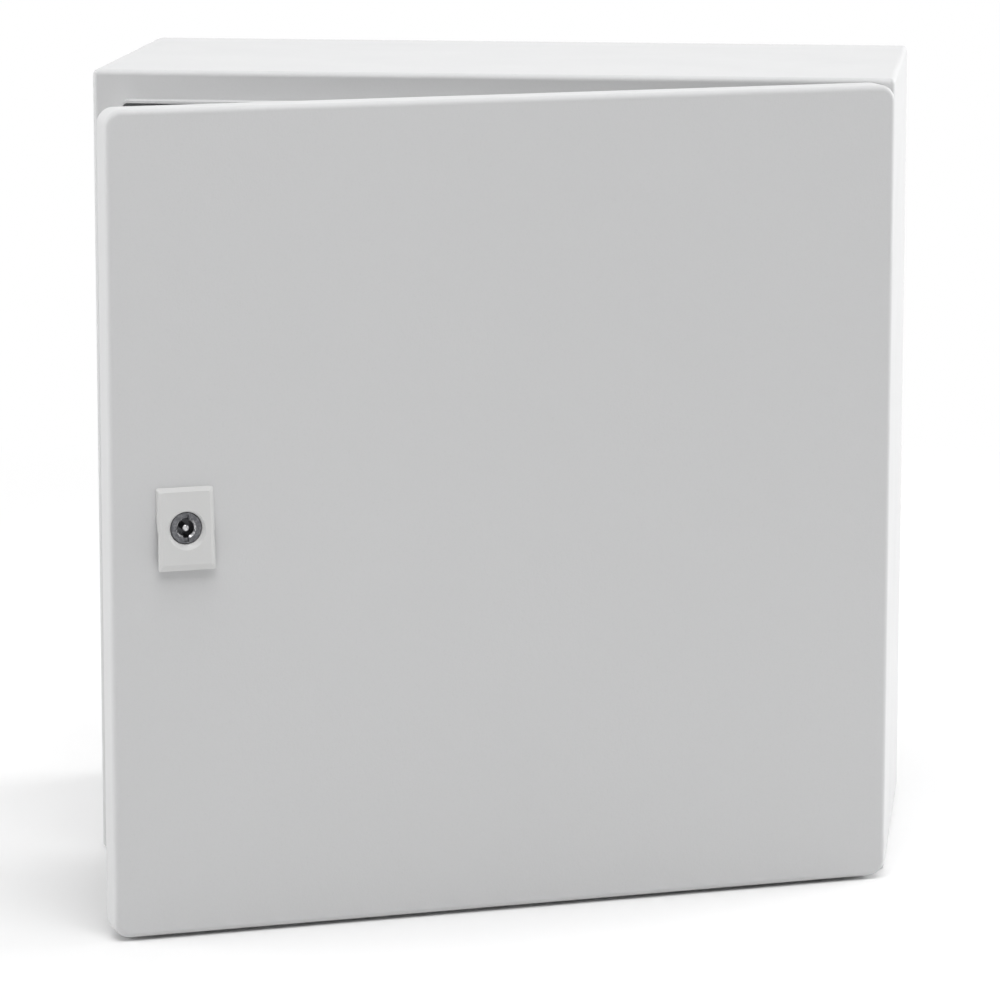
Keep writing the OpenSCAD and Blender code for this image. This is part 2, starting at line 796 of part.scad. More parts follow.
// Places children on the door sheet at the four studs of the door leaves, with z pointing inwards
module at_leaf_studs() {
  on_door() for (side = [-1, 1], end = [-1, 1]) {
    translate([hinge_x + door_leaf_x, door_inner_y, side * hinge_z + end * door_leaf_stud_z])
      rotate([-90, 0, 0]) children();
  }
}

module hinge_door_studs() {
  color(STEEL) at_leaf_studs() cylinder(d = leaf_stud_d, h = door_leaf_t + nut_t(leaf_stud_d) + stud_end / 2);
}

module hinge_door_nuts() {
  color(STEEL) at_leaf_studs() translate([0, 0, door_leaf_t]) hex_nut(leaf_stud_d);
}

// ---------- Lock ----------

// Thin layer of the front plate at one of its levels
module plate_level(w, low, high, tilt, z) {
  rotate([tilt, 0, 0])
    translate([0, (low + high) / 2, z])
      linear_extrude(plate_layer) rounded_rect(w, high - low, plate_corner_r, $fn = 32);
}

// Front plate's solid form: thin at the top and thick at the bottom, with beveled edges
module plate_form() {
  rise = (plate_bottom_t - plate_top_t) / plate_h;
  tilt = -atan(rise);
  face_z = (plate_top_t + plate_bottom_t) / 2 * cos(tilt);
  low = -plate_h / 2;
  edge_w = plate_w - 2 * plate_side_draft;
  edge_low = low + plate_low_draft;
  face_w = edge_w - 2 * plate_chamfer_w;
  hull() {
    plate_level(plate_w, low, plate_h / 2, 0, 0);
    plate_level(plate_w, low, plate_high(plate_bevel_t), tilt, face_z - plate_bevel_t);
    plate_level(plate_w, low, plate_high(plate_edge_t), tilt, face_z - plate_edge_t);
    plate_level(edge_w, edge_low, plate_high(plate_chamfer_t), tilt, face_z - plate_chamfer_t);
    plate_level(face_w, edge_low + plate_chamfer_w, plate_high(0), tilt, face_z);
  }
}

// Finger gap beneath the front plate's lower half, all round its foot
module finger_gap() {
  below = -plate_h;
  difference() {
    translate([-plate_w, 0, 0]) rotate([90, 0, 90]) linear_extrude(2 * plate_w) polygon([
      [finger_top, -cut], [finger_top, 0], [finger_top - finger_ramp, finger_neck],
      [-plate_h / 2, finger_t], [below, finger_t], [below, -cut]
    ]);
    translate([0, plate_drop, -2 * cut]) cylinder(r = gasket_out_r + foot_rim, h = plate_bottom_t);
  }
}

module front_plate() {
  translate([0, -plate_drop, 0]) difference() {
    plate_form();
    finger_gap();
  }
}

module lock_housing() {
  color(PLASTIC) at_lock() difference() {
    union() {
      front_plate();
      barrel_form(barrel_d, barrel_flats, barrel_back, insert_face - insert_head_t);
    }
    translate([0, 0, insert_face - insert_head_t - fit_gap]) cylinder(d = recess_d, h = plate_bottom_t);
    translate([0, 0, insert_face])
      cylinder(d1 = recess_d, d2 = recess_d + 2 * plate_bottom_t, h = plate_bottom_t);
    translate([0, 0, barrel_back - cut])
      cylinder(d = journal_d + 2 * fit_gap, h = plate_bottom_t - barrel_back);
    difference() {
      translate([0, 0, -cut]) cylinder(r = gasket_out_r, h = gasket_t + cut);
      translate([0, 0, -2 * cut]) cylinder(r = gasket_in_r, h = gasket_t + 4 * cut);
    }
  }
}

module lock_gasket() {
  color(FOAM) at_lock() difference() {
    cylinder(r = gasket_out_r - fit_gap, h = gasket_t);
    translate([0, 0, -cut]) cylinder(r = gasket_in_r + fit_gap, h = gasket_t + 2 * cut);
  }
}

module lock_washer() {
  color(STEEL) at_lock() translate([0, 0, -door_t - lock_washer_t]) difference() {
    cylinder(d = lock_nut_af, h = lock_washer_t);
    translate([0, 0, -cut]) cylinder(d = barrel_d + 2 * hole_gap, h = lock_washer_t + 2 * cut);
  }
}

module lock_nut() {
  color(STEEL) at_lock() translate([0, 0, -door_t - lock_washer_t - lock_nut_t]) difference() {
    cylinder(r = lock_nut_r, h = lock_nut_t, $fn = 6);
    translate([0, 0, -cut]) cylinder(d = barrel_d + 2 * fit_gap, h = lock_nut_t + 2 * cut);
  }
}

// Key insert: head, journal and square end, with a socket for a double-bit key round a centre pin
module lock_insert() {
  head_z = insert_face - insert_head_t;
  edge = 0.4;
  socket_z = insert_face - socket_depth;
  square_l = cam_t - square_gap;
  color(DARK_METAL) at_lock() difference() {
    union() {
      translate([0, 0, head_z]) cylinder(d = insert_d, h = insert_head_t - edge);
      translate([0, 0, insert_face - edge]) cylinder(d1 = insert_d, d2 = insert_d - 2 * edge, h = edge);
      translate([0, 0, cam_front]) cylinder(d = journal_d, h = head_z - cam_front);
      translate([-cam_square / 2, -cam_square / 2, cam_front - square_l])
        cube([cam_square, cam_square, square_l + cut]);
    }
    difference() {
      union() {
        translate([0, 0, socket_z]) cylinder(d = socket_d, h = socket_depth + cut);
        translate([0, 0, insert_face - socket_chamfer])
          cylinder(d1 = socket_d, d2 = socket_d + 2 * socket_chamfer, h = socket_chamfer);
        translate([-bit_w / 2, slot_wall - journal_d / 2, socket_z])
          cube([bit_w, journal_d - 2 * slot_wall, socket_depth + cut]);
        translate([-bit_w / 2, -bit_reach, insert_face - insert_head_t / 2])
          cube([bit_w, 2 * bit_reach, insert_head_t]);
      }
      translate([0, 0, socket_z - cut]) cylinder(d = key_pin_d, h = socket_depth);
    }
    translate([0, 0, cam_front - cam_t - cut])
      cylinder(d = cam_screw_d + 2 * fit_gap, h = cam_t + cam_screw_bite + cut);
    translate([0, 0, oring_z - oring_d / 2 - fit_gap]) difference() {
      cylinder(d = journal_d + 2 * cut, h = oring_d + 2 * fit_gap);
      translate([0, 0, -cut]) cylinder(d = journal_d - 2 * oring_d - 4 * fit_gap, h = oring_d + 4 * cut);
    }
  }
}

module lock_oring() {
  color(FOAM) at_lock() translate([0, 0, oring_z])
    rotate_extrude() translate([(journal_d - oring_d) / 2 - fit_gap, 0]) circle(d = oring_d);
}

// Cam: it hangs down while the lock is open
module lock_cam() {
  tip = 4;
  half_w = cam_w / 2;
  hub_rim = 1;
  color(STEEL) at_lock() translate([0, 0, cam_front - cam_t]) difference() {
    linear_extrude(cam_t) {
      circle(d = cam_w + 2 * hub_rim);
      polygon([
        [-half_w, 0], [-half_w, tip - cam_l], [tip - half_w, -cam_l],
        [half_w - tip, -cam_l], [half_w, tip - cam_l], [half_w, 0]
      ]);
    }
    translate([-cam_square / 2 - fit_gap, -cam_square / 2 - fit_gap, -cut])
      cube([cam_square + 2 * fit_gap, cam_square + 2 * fit_gap, cam_t + 2 * cut]);
  }
}

module lock_cam_washer() {
  color(STEEL) at_lock() translate([0, 0, cam_front - cam_t - cam_washer_t]) difference() {
    cylinder(d = 2 * cam_square, h = cam_washer_t);
    translate([0, 0, -cut]) cylinder(d = cam_screw_d + 2 * hole_gap, h = cam_washer_t + 2 * cut);
  }
}

module lock_cam_screw() {
  head_t = nut_t(cam_screw_d);
  under_head = cam_front - cam_t - cam_washer_t;
  color(STEEL) at_lock() {
    translate([0, 0, under_head]) cylinder(d = cam_screw_d, h = cam_t + cam_washer_t + cam_screw_bite - cut);
    translate([0, 0, under_head - head_t])
      cylinder(d = across_corners(nut_af(cam_screw_d)), h = head_t, $fn = 6);
  }
}

body_wrap();
rear_panel();
gland_plate();
gland_gasket();
gland_studs();
gland_nuts();
mounting_plate();
mounting_studs();
mounting_washers();
mounting_nuts();
body_earth_stud();
body_earth_washer();
body_earth_nut();
hinge_body_leaf_upper();
hinge_body_leaf_lower();
hinge_leaf_screws();
hinge_pins();
hinge_clips();
door_panel();
door_seal();
door_rail_lock_side();
door_rail_hinge_side();
hinge_door_leaf_upper();
hinge_door_leaf_lower();
hinge_door_studs();
hinge_door_nuts();
door_earth_stud();
door_earth_washer();
door_earth_nut();
lock_housing();
lock_gasket();
lock_washer();
lock_nut();
lock_insert();
lock_oring();
lock_cam();
lock_cam_washer();
lock_cam_screw();
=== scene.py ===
"""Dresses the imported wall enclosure: materials, fine detail, lights, floor and camera."""

import json
import math

import bmesh
import bpy
from mathutils import Matrix, Vector, noise


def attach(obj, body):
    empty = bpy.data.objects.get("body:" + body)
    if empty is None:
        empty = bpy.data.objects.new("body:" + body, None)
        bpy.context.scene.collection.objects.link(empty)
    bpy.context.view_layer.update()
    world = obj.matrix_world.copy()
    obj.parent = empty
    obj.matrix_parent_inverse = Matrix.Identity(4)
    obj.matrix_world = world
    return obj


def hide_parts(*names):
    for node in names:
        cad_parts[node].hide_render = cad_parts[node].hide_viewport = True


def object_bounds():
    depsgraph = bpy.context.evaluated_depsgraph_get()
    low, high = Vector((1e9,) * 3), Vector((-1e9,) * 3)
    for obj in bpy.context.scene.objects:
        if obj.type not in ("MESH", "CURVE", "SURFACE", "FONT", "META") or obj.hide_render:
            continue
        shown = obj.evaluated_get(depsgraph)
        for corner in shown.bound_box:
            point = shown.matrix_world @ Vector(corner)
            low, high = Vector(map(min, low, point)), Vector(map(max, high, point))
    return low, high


MM = 0.001
WORLD_LEVEL = 0.14

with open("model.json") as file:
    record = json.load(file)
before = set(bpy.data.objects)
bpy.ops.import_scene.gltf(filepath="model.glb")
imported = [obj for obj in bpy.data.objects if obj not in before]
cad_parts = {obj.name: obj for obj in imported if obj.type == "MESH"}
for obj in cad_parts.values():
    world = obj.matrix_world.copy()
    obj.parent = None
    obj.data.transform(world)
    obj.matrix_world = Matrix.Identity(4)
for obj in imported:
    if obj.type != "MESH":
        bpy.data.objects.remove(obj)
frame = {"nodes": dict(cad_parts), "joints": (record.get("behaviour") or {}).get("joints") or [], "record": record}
record = frame["record"]
cad_box = [list(corner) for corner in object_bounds()]
joints = {joint["name"]: joint for joint in frame["joints"]}
body_of = {node: body for body, nodes in record["behaviour"]["bodies"].items() for node in nodes}
slot_of = {part["node"]: part["material_slot"] for part in record["subparts"]}
scene = bpy.context.scene
scene.view_settings.view_transform = "Standard"


# ---------- Node materials ----------

class Finish:
    """A node material round one Principled shader."""

    def __init__(self, name, colour, roughness, metallic=0.0):
        self.material = bpy.data.materials.new(name)
        self.material.use_nodes = True
        self.tree = self.material.node_tree
        self.shader = self.tree.nodes["Principled BSDF"]
        self.colour = (*colour, 1.0)
        self.shader.inputs["Base Color"].default_value = self.colour
        self.shader.inputs["Roughness"].default_value = roughness
        self.shader.inputs["Metallic"].default_value = metallic
        self.roughness = roughness
        self.place = self.tree.nodes.new("ShaderNodeTexCoord").outputs["Object"]
        self.height = None

    def node(self, kind, values=None, **settings):
        made = self.tree.nodes.new(kind)
        for key, value in settings.items():
            setattr(made, key, value)
        for key, value in (values or {}).items():
            if isinstance(value, bpy.types.NodeSocket):
                self.tree.links.new(value, made.inputs[key])
            else:
                made.inputs[key].default_value = value
        return made

    def stretched(self, factors):
        """The object's coordinates, scaled per axis."""
        return self.node("ShaderNodeMapping", {"Vector": self.place, "Scale": factors}).outputs["Vector"]

    def noise(self, size, detail=2.0, where=None, rough=0.5):
        """Noise whose features are about size metres wide."""
        values = {"Vector": where or self.place, "Scale": 1 / size, "Detail": detail, "Roughness": rough}
        return self.node("ShaderNodeTexNoise", values).outputs["Fac"]

    def spread(self, factor, low, high, start=0.3, end=0.7):
        """Maps a factor from start..end to low..high."""
        values = {"Value": factor, "From Min": start, "From Max": end, "To Min": low, "To Max": high}
        return self.node("ShaderNodeMapRange", values).outputs["Result"]

    def maths(self, operation, first, second=0.0):
        return self.node("ShaderNodeMath", {0: first, 1: second}, operation=operation).outputs["Value"]

    def tint(self, factor, other):
        """Mixes the surface's colour towards another where the factor is high."""
        mix = self.node("ShaderNodeMix", {"Factor": factor}, data_type="RGBA")
        before = self.shader.inputs["Base Color"]
        if before.is_linked:
            self.tree.links.new(before.links[0].from_socket, mix.inputs["A"])
        else:
            mix.inputs["A"].default_value = self.colour
        mix.inputs["B"].default_value = (*other, 1.0)
        self.tree.links.new(mix.outputs["Result"], before)

    def vary_roughness(self, factor, swing, start=0.3, end=0.7):
        low = self.roughness - swing
        high = self.roughness + swing
        self.tree.links.new(self.spread(factor, low, high, start, end), self.shader.inputs["Roughness"])

    def bump(self, height, depth):
        """Adds relief of the given depth in metres, on top of any made before."""
        values = {"Height": height, "Distance": depth, "Strength": 1.0}
        if self.height:
            values["Normal"] = self.height
        self.height = self.node("ShaderNodeBump", values).outputs["Normal"]
        self.tree.links.new(self.height, self.shader.inputs["Normal"])


def shade(colour, factor):
    return tuple(channel * factor for channel in colour)


PAINT = (0.60, 0.602, 0.606)


def textured_paint(name):
    """Light grey powder coat with a fine orange-peel texture."""
    finish = Finish(name, PAINT, 0.48)
    finish.tint(finish.noise(0.30, 2.0), shade(PAINT, 0.965))
    grain = finish.noise(0.0011, 3.0)
    finish.tint(finish.spread(grain, 0.0, 0.35, 0.55, 0.75), shade(PAINT, 0.90))
    finish.vary_roughness(finish.noise(0.06, 3.0), 0.05)
    finish.bump(grain, 0.00006)
    finish.bump(finish.noise(0.0035, 2.0), 0.00005)
    return finish


def zinc_sheet(name):
    """Zinc-plated sheet: faint spangle and rolling lines."""
    colour = (0.62, 0.64, 0.66)
    finish = Finish(name, colour, 0.36, metallic=1.0)
    cells = finish.node("ShaderNodeTexVoronoi", {"Vector": finish.place, "Scale": 90.0})
    finish.tint(finish.spread(cells.outputs["Color"], 0.0, 0.5, 0.2, 0.9), shade(colour, 0.82))
    finish.tint(finish.spread(finish.noise(0.12, 4.0), 0.0, 0.4), (0.70, 0.69, 0.62))
    lines = finish.noise(0.0012, 3.0, finish.stretched((1.0, 1.0, 0.02)))
    finish.vary_roughness(lines, 0.08)
    finish.bump(lines, 0.000012)
    return finish


def cast_zinc(name):
    """Die-cast zinc: satin, slightly pitted."""
    colour = (0.50, 0.51, 0.52)
    finish = Finish(name, colour, 0.42, metallic=1.0)
    finish.tint(finish.spread(finish.noise(0.004, 4.0), 0.0, 0.6), shade(colour, 0.75))
    finish.vary_roughness(finish.noise(0.0015, 3.0), 0.10)
    finish.bump(finish.noise(0.0008, 3.0), 0.00003)
    return finish


def plated_steel(name):
    """Bright zinc plating on screws, nuts, washers and studs."""
    colour = (0.66, 0.67, 0.68)
    finish = Finish(name, colour, 0.28, metallic=1.0)
    finish.tint(finish.spread(finish.noise(0.006, 2.0), 0.0, 0.5), (0.63, 0.61, 0.55))
    finish.vary_roughness(finish.noise(0.002, 3.0), 0.05)
    finish.bump(finish.noise(0.0008, 2.0), 0.000004)
    return finish


def foam(name):
    """Foamed seal: dark, matt, with pores under a fine skin."""
    colour = (0.035, 0.035, 0.037)
    finish = Finish(name, colour, 0.85)
    pores = finish.node("ShaderNodeTexVoronoi", {"Vector": finish.place, "Scale": 1400.0})
    finish.tint(finish.spread(finish.noise(0.003, 4.0), 0.0, 1.0), (0.06, 0.06, 0.062))
    finish.vary_roughness(finish.noise(0.002, 2.0), 0.08)
    finish.bump(pores.outputs["Distance"], 0.0003)
    finish.bump(finish.noise(0.006, 2.0), 0.0006)
    return finish


def rubber(name):
    """Gaskets and O-ring: nearly black, smooth rubber."""
    colour = (0.018, 0.018, 0.019)
    finish = Finish(name, colour, 0.6)
    finish.tint(finish.spread(finish.noise(0.008, 3.0), 0.0, 0.8), (0.04, 0.04, 0.04))
    finish.vary_roughness(finish.noise(0.002, 3.0), 0.08)
    finish.bump(finish.noise(0.0006, 2.0), 0.00004)
    return finish


def grey_plastic(name):
    """Lock housing: light grey moulding with a fine grain."""
    colour = (0.62, 0.62, 0.616)
    finish = Finish(name, colour, 0.42)
    finish.tint(finish.noise(0.02, 3.0), shade(colour, 0.95))
    grain = finish.noise(0.0005, 2.0)
    finish.vary_roughness(finish.noise(0.005, 3.0), 0.06)
    finish.bump(grain, 0.00003)
    return finish


def lock_metal(name):
    """Key insert: dark die-casting, scuffed bright by the key."""
    colour = (0.115, 0.117, 0.125)
    finish = Finish(name, colour, 0.36, metallic=1.0)
    finish.tint(finish.spread(finish.noise(0.0016, 4.0), 0.0, 1.0, 0.45, 0.7), (0.20, 0.20, 0.21))
    finish.vary_roughness(finish.noise(0.0008, 3.0), 0.12)
    finish.bump(finish.noise(0.0005, 3.0), 0.00003)
    return finish


def weld_mark(name):
    """Spot-weld mark: zinc burnt darker and duller than the sheet round it."""
    colour = (0.40, 0.39, 0.37)
    finish = Finish(name, colour, 0.50, metallic=1.0)
    finish.tint(finish.spread(finish.noise(0.0025, 4.0), 0.0, 0.8), (0.22, 0.20, 0.18))
    finish.vary_roughness(finish.noise(0.001, 3.0), 0.10)
    finish.bump(finish.noise(0.0006, 3.0), 0.00004)
    return finish


def worn_metal(name):
    """Bright metal: key wear on the end of the pin, and a painted highlight round the socket's rim in place of its
    lit chamfer; dark remains between the scratches.
    """
    colour = (0.58, 0.58, 0.59)
    finish = Finish(name, colour, 0.32, metallic=1.0)
    finish.tint(finish.spread(finish.noise(0.0014, 3.0), 0.0, 1.0, 0.46, 0.58), (0.14, 0.14, 0.15))
    finish.vary_roughness(finish.noise(0.0006, 3.0), 0.12)
    finish.bump(finish.noise(0.0004, 3.0), 0.00003)
    return finish


FINISHES = {
    "light_grey_paint": textured_paint,
    "zinc_plated_sheet": zinc_sheet,
    "zinc_casting": cast_zinc,
    "steel_fastener": plated_steel,
    "foam_seal": foam,
    "rubber_gasket": rubber,
    "light_grey_plastic": grey_plastic,
    "lock_metal": lock_metal,
    "weld_mark": weld_mark,
    # Bright metal for the pin's worn end and for the painted highlight round the socket's rim.
    "worn_metal": worn_metal,
}


def dress_nodes():
    """Gives every CAD node the finish of its slot in the record."""
    made = {slot: build(slot).material for slot, build in FINISHES.items()}
    for part in record["subparts"]:
        materials = frame["nodes"][part["node"]].data.materials
        materials.clear()
        materials.append(made[part["material_slot"]])
    return made


# ---------- Places ----------

def door_frame():
    """Turns places on the closed door into places on the door as it stands ajar."""
    hinge = joints["door_hinge"]
    pivot = Matrix.Translation(Vector(hinge["pos_m"]))
    ajar = Matrix.Rotation(math.radians(-hinge["range_deg"][0]), 4, Vector(hinge["axis"]))
    return pivot @ ajar @ pivot.inverted()


def lock_frame():
    """Frame of the lock on the door's face: z out of the door, y up."""
    lock = joints["lock_turn"]
    out = -Vector(lock["axis"])
    up = Vector((0.0, 0.0, 1.0))
    turn = Matrix((up.cross(out), up, out)).transposed()
    return Matrix.Translation(Vector(lock["pos_m"])) @ turn.to_4x4()


def box_of(points):
    """Lowest and highest corner of some points."""
    low = Vector([min(point[axis] for point in points) for axis in range(3)])
    high = Vector([max(point[axis] for point in points) for axis in range(3)])
    return low, high


def points_of(node, place):
    """A CAD node's vertices in the frame given by place."""
    back = place.inverted()
    return [back @ vert.co for vert in frame["nodes"][node].data.vertices]


def solids(node):
    """Vertices of each separate solid of a CAD node."""
    form = bmesh.new()
    form.from_mesh(frame["nodes"][node].data)
    bmesh.ops.remove_doubles(form, verts=form.verts, dist=0.001 * MM)
    seen = set()
    found = []
    for first in form.verts:
        if first in seen:
            continue
        seen.add(first)
        reached = [first]
        for vert in reached:
            joined = [edge.other_vert(vert) for edge in vert.link_edges]
            fresh = [other for other in joined if other not in seen]
            seen.update(fresh)
            reached += fresh
        found.append([vert.co.copy() for vert in reached])
    form.free()
    return sorted(found, key=lambda points: tuple(box_of(points)[0]))


class Stand:
    """Where a turned part stands: z runs along its axis from its near end, and x points to a corner.

    radius is its greatest and bore its least distance from the axis, and wide is where it has that radius.
    """

    def __init__(self, points, axis):
        axis = Vector(axis).normalized()
        side = axis.orthogonal().normalized()
        turn = Matrix((side, axis.cross(side), axis))
        local = [turn @ point for point in points]
        low, high = box_of(local)
        foot = (low + high) / 2
        foot.z = low.z
        arms = [(point - foot).to_2d() for point in local]
        far = max(arms, key=lambda arm: arm.length)
        self.radius = far.length
        self.bore = min(arm.length for arm in arms)
        self.length = high.z - low.z
        wide = [point.z - foot.z for point, arm in zip(local, arms) if arm.length > 0.98 * self.radius]
        self.wide = (min(wide), max(wide))
        back = turn.transposed()
        spin = Matrix.Rotation(math.atan2(far.y, far.x), 4, "Z")
        self.place = Matrix.Translation(back @ foot) @ back.to_4x4() @ spin


# ---------- Mesh forms ----------

def at(value, angle):
    return value(angle) if callable(value) else value


def ring(radius, z, sides):
    """Points round the z axis; the radius and the height may depend on the angle."""
    angles = [math.tau * i / sides for i in range(sides)]
    return [(at(radius, a) * math.cos(a), at(radius, a) * math.sin(a), at(z, a)) for a in angles]


def skin(form, rings, place, loop=False):
    """Joins rings of points, all of one count, by quads; loop joins the last ring to the first."""
    rows = [[form.verts.new(place @ Vector(point)) for point in points] for points in rings]
    above = rows[1:] + rows[:1] if loop else rows[1:]
    for lower, upper in zip(rows, above):
        for i, corner in enumerate(lower):
            j = (i + 1) % len(lower)
            form.faces.new((corner, lower[j], upper[j], upper[i]))
    return rows


def closed_skin(form, rings, place):
    """A skin whose two open ends are filled."""
    rows = skin(form, rings, place)
    form.faces.new(rows[0])
    form.faces.new(rows[-1])


def thread_rings(radius, pitch, low, high, sides=32, limit=None):
    """Rings of a screw thread with a chamfered high end; limit cuts its radius by angle, for flats."""
    depth = 0.6 * pitch
    rows = round((high - low) / pitch * 6)
    rings = []
    for row in range(rows + 1):
        z = low + (high - low) * row / rows
        end = radius - max(0.0, depth + z - high)

        def reach(angle):
            turn = (z / pitch - angle / math.tau) % 1.0
            groove = depth * min(1.0, max(0.0, (abs(2 * turn - 1) - 0.1) / 0.75))
            return min(radius - groove, end, limit(angle) if limit else radius)

        rings.append(ring(reach, z, sides))
    return rings


def hexagon(radius):
    """Outline of a hexagon by angle, with a corner at angle 0."""
    flat = radius * math.cos(math.pi / 6)
    return lambda angle: flat / math.cos(angle % (math.pi / 3) - math.pi / 6)


def hexagon_rings(radius, low, high, sides=48):
    """Rings of a hexagonal bar whose corners are chamfered at both ends."""
    reach = hexagon(radius)
    face = 0.95 * radius * math.cos(math.pi / 6)
    return [
        ring(face, low, sides),
        ring(reach, lambda a: low + (reach(a) - face) / 2, sides),
        ring(reach, lambda a: high - (reach(a) - face) / 2, sides),
        ring(face, high, sides),
    ]


def nut_rings(stand, sides=48):
    """Rings of a hexagon nut with a chamfered bore."""
    lead = 0.12 * stand.bore
    bore = stand.bore
    inside = [ring(bore, lead, sides), ring(bore + lead, 0.0, sides)]
    outside = hexagon_rings(stand.radius, 0.0, stand.length, sides)
    return inside + outside + [ring(bore + lead, stand.length, sides), ring(bore, stand.length - lead, sides)]


def dome_rings(radius, height, low, sides=32, steps=5):
    """Rings of a flat dome on the z axis, up to a small ring at its top."""
    angles = [math.pi / 2 * i / steps for i in range(steps)]
    return [ring(radius * math.cos(a), low + height * math.sin(a), sides) for a in angles]


def round_path(half_w, half_h, radius, step):
    """Points (x, z) round a rectangle with round corners, each with its outward direction."""
    path = []
    for quarter, (side_x, side_z) in enumerate(((1, 1), (-1, 1), (-1, -1), (1, -1))):
        centre = Vector((side_x * (half_w - radius), side_z * (half_h - radius)))
        for i in range(9):
            angle = math.pi / 2 * (quarter + i / 8)
            out = Vector((math.cos(angle), math.sin(angle)))
            path.append((centre + radius * out, out))
        run = 2 * (half_w if quarter % 2 == 0 else half_h) - 2 * radius
        ahead = Vector((-out.y, out.x))
        count = int(run / step)
        start = path[-1][0]
        path += [(start + ahead * run * i / count, out) for i in range(1, count)]
    return path


# ---------- Pieces ----------

def add_piece(name, form, node, finish=None, replaces=True, sharp=32.0):
    """Makes a piece that rides with a CAD node, in the node's finish or another, and stands for it."""
    bmesh.ops.recalc_face_normals(form, faces=form.faces)
    mesh = bpy.data.meshes.new(name)
    form.to_mesh(mesh)
    form.free()
    mesh.shade_smooth()
    mesh.set_sharp_from_angle(angle=math.radians(sharp))
    mesh.materials.append(finishes[finish or slot_of[node]])
    piece = bpy.data.objects.new(name, mesh)
    scene.collection.objects.link(piece)
    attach(piece, body_of[node])
    if replaces:
        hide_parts(node)


def add_nuts(node, axis, sides=48):
    """Chamfered hexagon nuts."""
    form = bmesh.new()
    for points in solids(node):
        stand = Stand(points, axis)
        skin(form, nut_rings(stand, sides), stand.place, loop=True)
    add_piece(node + "_chamfered", form, node)


def add_studs(node, axis, pitch):
    """Threaded studs; the axis points to their free ends."""
    form = bmesh.new()
    for points in solids(node):
        stand = Stand(points, axis)
        closed_skin(form, thread_rings(stand.radius, pitch, 0.0, stand.length), stand.place)
    add_piece(node + "_threaded", form, node)


def add_hexagon_bolts(node, axis, pitch):
    """Threaded rods, each with a chamfered hexagon at one end."""
    form = bmesh.new()
    for points in solids(node):
        stand = Stand(points, axis)
        low, high = stand.wide
        rod = (high, stand.length) if low < high / 10 else (0.0, low)
        closed_skin(form, hexagon_rings(stand.radius, low, high), stand.place)
        closed_skin(form, thread_rings(stand.bore, pitch, *rod), stand.place)
    add_piece(node + "_threaded", form, node)


def close_rims(form, middle):
    """Joins the two open rims above the middle height to each other, and the two below it."""
    rims = [edge for edge in form.edges if edge.is_boundary]
    for upper in (True, False):
        pair = [edge for edge in rims if (edge.verts[0].co.z > middle) == upper]
        bmesh.ops.bridge_loops(form, edges=pair)


def barrel_skin(form, back, bore):
    """Outer faces and back end of the lock housing's barrel."""
    found = []
    for face in form.faces:
        depths = [vert.co.z for vert in face.verts]
        in_bore = any(vert.co.to_2d().length < bore + 0.1 * MM for vert in face.verts)
        if max(depths) < back / 2 or (min(depths) < back / 2 and not in_bore):
            found.append(face)
    return found


def add_lock_housing(pitch):
    """Lock housing, with a real thread round its flattened barrel."""
    place = lock_frame()
    form = bmesh.new()
    form.from_mesh(frame["nodes"]["lock_housing"].data)
    bmesh.ops.remove_doubles(form, verts=form.verts, dist=0.001 * MM)
    form.transform(place.inverted())
    barrel = [vert.co for vert in form.verts if vert.co.z < -0.1 * MM]
    back = min(point.z for point in barrel)
    flat = max(abs(point.x) for point in barrel)
    radius = max(point.to_2d().length for point in barrel)
    bore = min(point.to_2d().length for point in barrel)

    def flats(angle):
        return flat / max(abs(math.cos(angle)), 0.1)

    bmesh.ops.delete(form, geom=barrel_skin(form, back, bore), context="FACES")
    rings = thread_rings(radius, pitch, 0.4 * pitch, -back, 96, flats)
    skin(form, rings, Matrix.Rotation(math.pi, 4, "Y"))
    close_rims(form, back / 2)
    form.transform(place)
    add_piece("lock_housing_threaded", form, "lock_housing", sharp=4.5)


def bead_size(spot, closing, width, depth):
    """Half width and height of the foam bead at a spot: a little uneven, and swollen where it closes."""
    slow = noise.noise(Vector((*spot, 0.0)) / (30 * MM))
    quick = noise.noise(Vector((*spot, 1.0)) / (8 * MM))
    lump = max(0.0, 1 - (spot - closing).length / (9 * MM))
    half = width / 2 * (0.95 + 0.03 * slow + 0.02 * quick + 0.16 * lump)
    return half, depth * (0.96 + 0.025 * slow + 0.015 * quick)


def bead_profile(foot, out, half, height):
    """Round-backed section of the foam bead, standing on its foot and lying along out."""
    profile = []
    for i in range(15):
        turn = math.pi * i / 14
        shift = out * (-half * math.cos(turn))
        rise = height * math.sin(turn) ** 0.6
        profile.append((foot.x + shift.x, foot.y + rise, foot.z + shift.y))
    return profile


def add_foam_bead(width, corner_r):
    """Poured foam seal, in place of the plain one."""
    place = door_frame()
    low, high = box_of(points_of("door_seal", place))
    middle = (low + high) / 2
    half_w = (high.x - low.x - width) / 2
    half_h = (high.z - low.z - width) / 2
    closing = Vector((half_w, -0.4 * half_h))
    rings = []
    for spot, out in round_path(half_w, half_h, corner_r, 4 * MM):
        half, height = bead_size(spot, closing, width, high.y - low.y)
        foot = Vector((middle.x + spot.x, low.y, middle.z + spot.y))
        rings.append(bead_profile(foot, out, half, height))
    form = bmesh.new()
    skin(form, rings, place, loop=True)
    add_piece("door_seal_poured", form, "door_seal")


